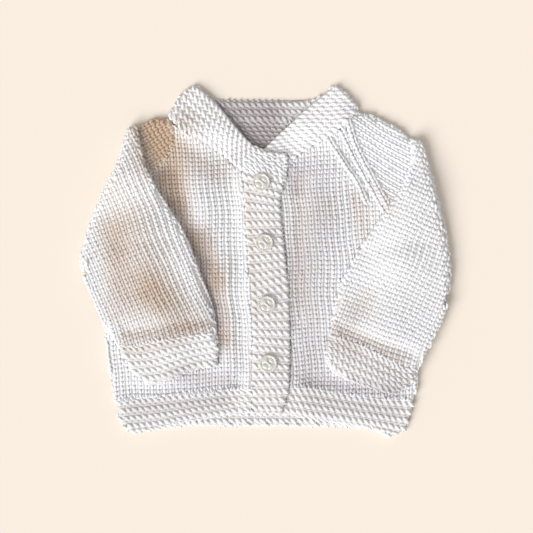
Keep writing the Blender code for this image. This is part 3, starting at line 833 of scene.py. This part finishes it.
def lay_plain(knitting, layout, grow, part, kind, side=1, half_step=False, size=(1.0, 1.0, 1.0)):
    """Rows of one kind of stitch all over a core, growing one way."""
    core = knitting.core
    grow = Vector((grow[0], grow[1], 0.0)).normalized()
    across = Vector((grow.y, -grow.x, 0.0))
    centre = Vector((core.low + core.high) / 2) / MM
    reach = math.hypot(*((core.high - core.low)[:2])) / MM / 2 + WRAP
    for j in range(-int(reach / ROW), int(reach / ROW) + 1):
        for i in range(-int(reach / STITCH), int(reach / STITCH) + 1):
            shift = 0.5 if half_step and j % 2 else 0.0
            plan = centre + across * (i + shift) * STITCH + grow * j * ROW
            plan += drift(plan)
            hit = core.lay(plan.x * MM, plan.y * MM, side)
            if hit is None or not part_matches(hit, part) or on_raised_wale(core.node, plan):
                continue
            if side < 0 and hit[1].z > -LEVEL:
                continue
            if layout.fits(core.node, hit):
                knitting.add(kind, *hit, grow, size=size)


def drift(plan):
    """How far the hand-knitted rows wander at a point: a slow and a quick wave each way."""
    x, y = plan.x, plan.y
    return Vector((0.9 * math.sin(y / 13.0 + x / 41.0) + 0.5 * math.sin(y / 6.1 + 2.0),
                   0.7 * math.sin(x / 11.0 + y / 37.0) + 0.4 * math.sin(x / 5.3 + 1.0), 0.0)) * DRIFT


def on_raised_wale(node, plan):
    """Whether a point in plan is where a raised wale lies."""
    for name, points in RAISED_WALES:
        if name != node:
            continue
        for a, b in zip(points, points[1:]):
            run = Vector(b) - Vector(a)
            share = min(max((plan.xy - Vector(a)).dot(run) / run.length_squared, 0.0), 1.0)
            if (plan.xy - Vector(a) - run * share).length < WALE_CLEAR:
                return True
    return False


def lay_raised_wales(knitting, layout):
    """One wale of larger stitches along each raised line of a piece."""
    core = knitting.core
    for name, points in RAISED_WALES:
        if name != core.node:
            continue
        left = 0.0
        for a, b in zip(points, points[1:]):
            run = Vector((*b, 0.0)) - Vector((*a, 0.0))
            while left < run.length:
                plan = Vector((*a, 0.0)) + run.normalized() * left
                hit = core.lay(plan.x * MM, plan.y * MM, 1)
                if hit is not None and layout.fits(core.node, hit):
                    place = hit[0] + hit[1] * WALE_RAISE * MM
                    knitting.add("knit", place, hit[1], -run.normalized(), size=WALE_SIZE)
                left += ROW
            left -= run.length


def part_matches(hit, part):
    """Whether a place is on the part asked for: folded or laid, lowest or upper, or all."""
    level = hit[0].z / MM
    if part == "lowest":
        return level < LOWEST_LAYER
    if part == "upper":
        return level > LOWEST_LAYER
    if part in ("folded", "laid"):
        spot = np.array([hit[0].x / MM]), np.array([hit[0].y / MM])
        over = level - RELIEF * float(swell_height(SWELLS, *spot)[0]) > FOLDED_FROM
        on_side = abs(hit[1].z) < WALL
        return over or on_side if part == "folded" else not over and not on_side
    return True


def lay_garter(knitting, layout, strip, ridges, part="all", sewn="near"):
    """Garter ridges along a strip, lower loops in the grooves, and a row of loops on each edge."""
    step = 1.0 / ridges
    width = strip.width(0.5)
    rows = [((r + 0.5) * step, "purl", 0.0) for r in range(ridges)]
    rows += [(r * step, "groove", 0.5) for r in range(1, ridges)]
    near, far = (SEWN_EDGE, FREE_EDGE) if sewn == "near" else (FREE_EDGE, SEWN_EDGE)
    rows += [(-near / width, "edge", 0.5), (1.0 + far / width, "edge", 0.0)]
    for v, kind, shift in rows:
        for plan, up in strip.walk(v, shift):
            place_garter(knitting, layout, plan, up, kind, part)


def place_garter(knitting, layout, plan, up, kind, part="all"):
    """One loop of a garter band above a point, where its piece has that part and room."""
    core = knitting.core
    hit = core.lay(plan.x * MM, plan.y * MM, 1)
    if hit is None or not part_matches(hit, part) or not layout.fits(core.node, hit):
        return
    knitting.add(kind, *hit, up)


def lay_garter_across(knitting, layout, strip):
    """Garter ridges that run across a long band."""
    rows = round(strip.length(0.5) / BAND_RIDGE)
    for r in range(2 * rows + 1):
        u = r / 2 / rows
        kind = "purl" if r % 2 else "groove"
        width = strip.width(u)
        count = max(3, round(width / STITCH))
        for k in range(-1, count + 1):
            v = (k + (0.5 if r % 2 else 0.0)) / count
            v = min(max(v, -BAND_OVERLAP / width), 1.0 + BAND_OVERLAP / width)
            place_garter(knitting, layout, strip.at(u, v), Vector((0.0, 1.0, 0.0)), kind)


def growth(core, place, normal):
    """The way the rows grow at a place of a piece, on the neckband towards the neck."""
    for node, grow, part in PLAIN:
        if node == core.node and part_matches((place, normal), part):
            return Vector((*grow, 0.0))
    if core.node == "neckband":
        return Vector((-0.7 if place.x > 0.0 else 0.7, 0.7, 0.0))
    return Vector((*CUFF_GROWTH.get(core.node, (0.0, 1.0)), 0.0))


def fill_bare(knitting, layout):
    """More stitches where the rows left a bare place, mostly on the walls of the folds."""
    core = knitting.core
    laid = [row[0] for rows in knitting.rows.values() for row in rows]
    known = KDTree(len(laid) + 1)
    for index, place in enumerate(laid):
        known.insert(place, index)
    known.balance()
    added = []
    kind = "purl" if core.node in GARTER_NODES else "knit"
    mesh = core.piece.data
    for face in mesh.polygons:
        if face.normal.z < -LEVEL:
            continue
        room = (BARE_WALL if face.normal.z < WALL else BARE_TOP) * MM
        corners = [mesh.vertices[index].co for index in face.vertices]
        spots = [face.center, *((a + b) / 2 for a, b in zip(corners, corners[1:] + corners[:1]))]
        for spot in spots:
            near = known.find(spot)[2]
            if spot.z < FILL_FROM * MM or (near is not None and near < room):
                continue
            if any((spot - other).length < room for other in added):
                continue
            normal = face.normal.copy()
            if layout.fits(core.node, (spot, normal)):
                added.append(spot.copy())
                knitting.add(kind, spot, normal, growth(core, spot, normal))


# ---------------------------------------------------------------- the buttons
PETALS = 4
BUTTON_RINGS = 14
BUTTON_SIDES = 48
# Heights as shares of the button's: its well, its rim and petals above that, its edge and foot
WELL, RIM_RISE, PETAL_RISE, EDGE_HIGH, FOOT_HIGH = 0.5, 0.34, 0.4, 0.55, 0.1
# Where they lie and how wide they are, as shares of its radius
RIM_AT, RIM_WIDTH = 0.9, 0.09
PETAL_AT, PETAL_WIDTH = 0.46, 0.26
FOOT_AT = 0.97
# One strand of its thread: a path from hole to hole over its middle, in mm, and its radii there
THREAD_PATH = [(-2.6, 2.3, -2.2), (-1.7, 1.5, -0.2), (0.0, 0.0, 0.25), (1.7, -1.5, -0.2), (2.6, -2.3, -2.2)]
THREAD_RADII = [0.32, 0.38, 0.4, 0.38, 0.32]
THREAD_OFFSETS = (-0.36, 0.36)         # mm to the sides
THREAD_SINK = 0.4      # mm below the button's top


def make_button(node, material, thread):
    """A round moulded button with a raised rim, four petals and the thread that holds it."""
    low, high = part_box(node)
    centre = (Vector(low) + Vector(high)) / 2
    radius = (high[0] - low[0]) / 2
    height = high[2] - low[2]
    base = lift(np.array([[centre.x, centre.y, low[2]]]) / MM)[0, 2] * MM
    shape = bmesh.new()
    turns = [2 * math.pi * s / BUTTON_SIDES for s in range(BUTTON_SIDES)]
    rows = []

    def ring_vert(share, turn, rise):
        return shape.verts.new((centre.x + radius * share * math.cos(turn),
                                centre.y + radius * share * math.sin(turn), base + height * rise))

    for k in range(BUTTON_RINGS):
        share = 1.0 - k / BUTTON_RINGS
        row = []
        for turn in turns:
            rim = math.exp(-((share - RIM_AT) / RIM_WIDTH) ** 2)
            petal = abs(math.sin(PETALS / 2 * turn)) ** 0.5
            lobe = math.exp(-((share - PETAL_AT) / PETAL_WIDTH) ** 2) * petal
            row.append(ring_vert(share, turn, WELL + RIM_RISE * rim + PETAL_RISE * lobe if k else EDGE_HIGH))
        rows.append(row)
    top = ring_vert(0.0, 0.0, WELL)
    foot = [ring_vert(FOOT_AT, turn, FOOT_HIGH) for turn in turns]
    for s in range(BUTTON_SIDES):
        n = (s + 1) % BUTTON_SIDES
        for outer, inner in zip(rows, rows[1:]):
            shape.faces.new((outer[s], outer[n], inner[n], inner[s]))
        shape.faces.new((rows[-1][s], rows[-1][n], top))
        shape.faces.new((foot[s], foot[n], rows[0][n], rows[0][s]))
    shape.faces.new(foot)
    bmesh.ops.recalc_face_normals(shape, faces=shape.faces)
    disc = add_piece(node + "_disc", shape, material)
    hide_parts(node)
    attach(disc, "root")
    stitch = make_thread(node, centre, base + height, thread)
    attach(stitch, "root")


def make_thread(node, centre, top, material):
    """Two strands of sewing yarn across a button's holes."""
    paths = [[(x, y + offset, z) for x, y, z in THREAD_PATH] for offset in THREAD_OFFSETS]
    piece = stitch_object(node + "_thread", [strand(path, THREAD_RADII, LEG_FLAT, 8) for path in paths])
    piece.data.transform(Matrix.Translation((centre.x, centre.y, top - THREAD_SINK * MM)))
    piece.data.materials.append(material)
    # The thread has no painted shade or highlight
    layer = piece.data.attributes.new("tint", "FLOAT_VECTOR", "POINT")
    layer.data.foreach_set("vector", np.zeros(3 * len(piece.data.vertices)))
    return piece


# ---------------------------------------------------------------- floor, light and camera
def make_stage():
    """A plain pale floor, a soft key from the wearer's lower right and a pale sky."""
    shape = bmesh.new()
    bmesh.ops.create_grid(shape, x_segments=1, y_segments=1, size=FLOOR_HALF)
    add_piece("floor", shape, floor_material())
    sun = bpy.data.lights.new("key", "SUN")
    sun.energy = KEY_STRENGTH
    sun.angle = math.radians(KEY_SPREAD)
    link_object("key", sun).rotation_euler = Vector(KEY_FROM).to_track_quat("Z", "Y").to_euler()
    world = bpy.data.worlds.new("sky")
    world.use_nodes = True
    world.node_tree.nodes["Background"].inputs["Color"].default_value = SKY_COLOUR
    world.node_tree.nodes["Background"].inputs["Strength"].default_value = SKY_STRENGTH
    bpy.context.scene.world = world
    bpy.context.scene.view_settings.view_transform = "Standard"


def make_camera():
    """Straight down on the garment, from far enough away to flatten its relief."""
    lens = bpy.data.cameras.new("camera")
    lens.lens = LENS
    lens.sensor_width = SENSOR
    camera = link_object("camera", lens)
    height = VIEW_WIDTH * MM * LENS / SENSOR
    camera.location = (VIEW_CENTRE[0] * MM, VIEW_CENTRE[1] * MM, height)
    bpy.context.scene.camera = camera


# ---------------------------------------------------------------- the whole garment
# Size of each piece as it is knitted, before it is folded or laid
FLAT_SIZES = {
    # node: (width and length in metres, how it is held)
    "back": (0.222, 0.20, "laid"),
    "back_hem": (0.205, 0.025, "laid"),
    "right_front": (0.102, 0.18, "laid"),
    "right_front_hem": (0.098, 0.022, "laid"),
    "left_front": (0.102, 0.18, "laid"),
    "left_front_hem": (0.090, 0.022, "laid"),
    "right_sleeve": (0.145, 0.17, "folded"),
    "right_cuff": (0.13, 0.024, "folded"),
    "left_sleeve": (0.145, 0.17, "folded"),
    "left_cuff": (0.13, 0.024, "folded"),
    "neckband": (0.31, 0.021, "folded"),
    "buttonhole_band": (0.027, 0.17, "laid"),
    "button_band": (0.026, 0.17, "laid"),
}
FLATTENED = (1.0, 1.0, 0.5)    # size of the stitches that the garment rests on
GARTER_NODES = ("back_hem", "right_front_hem", "left_front_hem", "right_cuff", "left_cuff", "neckband",
                "buttonhole_band", "button_band")


def knit_piece(knitting, layout):
    """Lay every stitch of one piece."""
    node = knitting.core.node
    for name, grow, part in PLAIN:
        if name == node:
            lay_plain(knitting, layout, grow, part, "knit")
    lay_raised_wales(knitting, layout)
    if node == "back":
        lay_plain(knitting, layout, (0.0, 1.0), "lowest", "reverse", half_step=True)
    elif node == "neckband":
        for run, part in (("front", "upper"), ("under", "upper"), ("back", "lowest")):
            name = "neckband_" + run
            lay_garter(knitting, layout, Strip(name), RIDGES_ALONG[name], part, "far")
    elif node in ("buttonhole_band", "button_band"):
        lay_garter_across(knitting, layout, Strip("buttonhole_band"))
    elif node in RIDGES_ALONG:
        lay_garter(knitting, layout, Strip(node), RIDGES_ALONG[node])
    for x, y in GAP_STITCHES.get(node, []):
        place, normal, _, _ = knitting.core.tree.find_nearest(Vector((x, y, GAP_HEIGHT)) * MM)
        knitting.add("edge", place, normal, Vector((1.0, 0.0, 0.0)))
    fill_bare(knitting, layout)


def knit_underside(knitting, layout):
    """Flattened stitches on what rests on the surface."""
    node = knitting.core.node
    if node in ("back", "right_sleeve", "left_sleeve", "back_hem", "neckband"):
        grow = UNDER_GROWTH.get(node, (0.0, 1.0))
        lay_plain(knitting, layout, grow, "lowest", "under", side=-1, size=FLATTENED)


def main():
    # The outer yarn, and the darker yarn of the cores and grooves, painted as the shade between the stitches
    yarns = {"outer": yarn_material(), "painted_shade_core": core_painted_shade_material()}
    plastic = button_material()
    make_stage()
    make_camera()
    tree = build_laying_tree()
    cores = {node: Core(node, yarns["painted_shade_core"]) for node in FLAT_SIZES}
    layout = Layout(cores)
    prototypes = {
        "knit": knit_stitch("knit_stitch"),
        "under": knit_stitch("under_stitch", rings=3, sides=4),
        "purl": purl_bump("purl_bump", 1.25, radius=1.16, sink=0.15),
        "groove": purl_bump("groove_loop", -0.5, radius=0.95, sink=0.8),
        "reverse": purl_bump("reverse_bump", 0.6, radius=0.95),
        "edge": purl_bump("edge_loop", 0.2, radius=1.1, sink=0.3),
    }
    for node, core in cores.items():
        knitting = Knitting(core)
        knit_piece(knitting, layout)
        knit_underside(knitting, layout)
        pieces = [knitting.make(tree, prototypes, yarns)] if knitting.rows else []
        slot = "garter" if node in GARTER_NODES else "knit"
        for piece in (core.piece, *pieces):
            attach(piece, "root")
        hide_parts(node)
        width, length, held = FLAT_SIZES[node]
    for prototype in prototypes.values():
        bpy.data.objects.remove(prototype)
    for number in range(1, 5):
        make_button("button_%d" % number, plastic, yarns["outer"])


main()
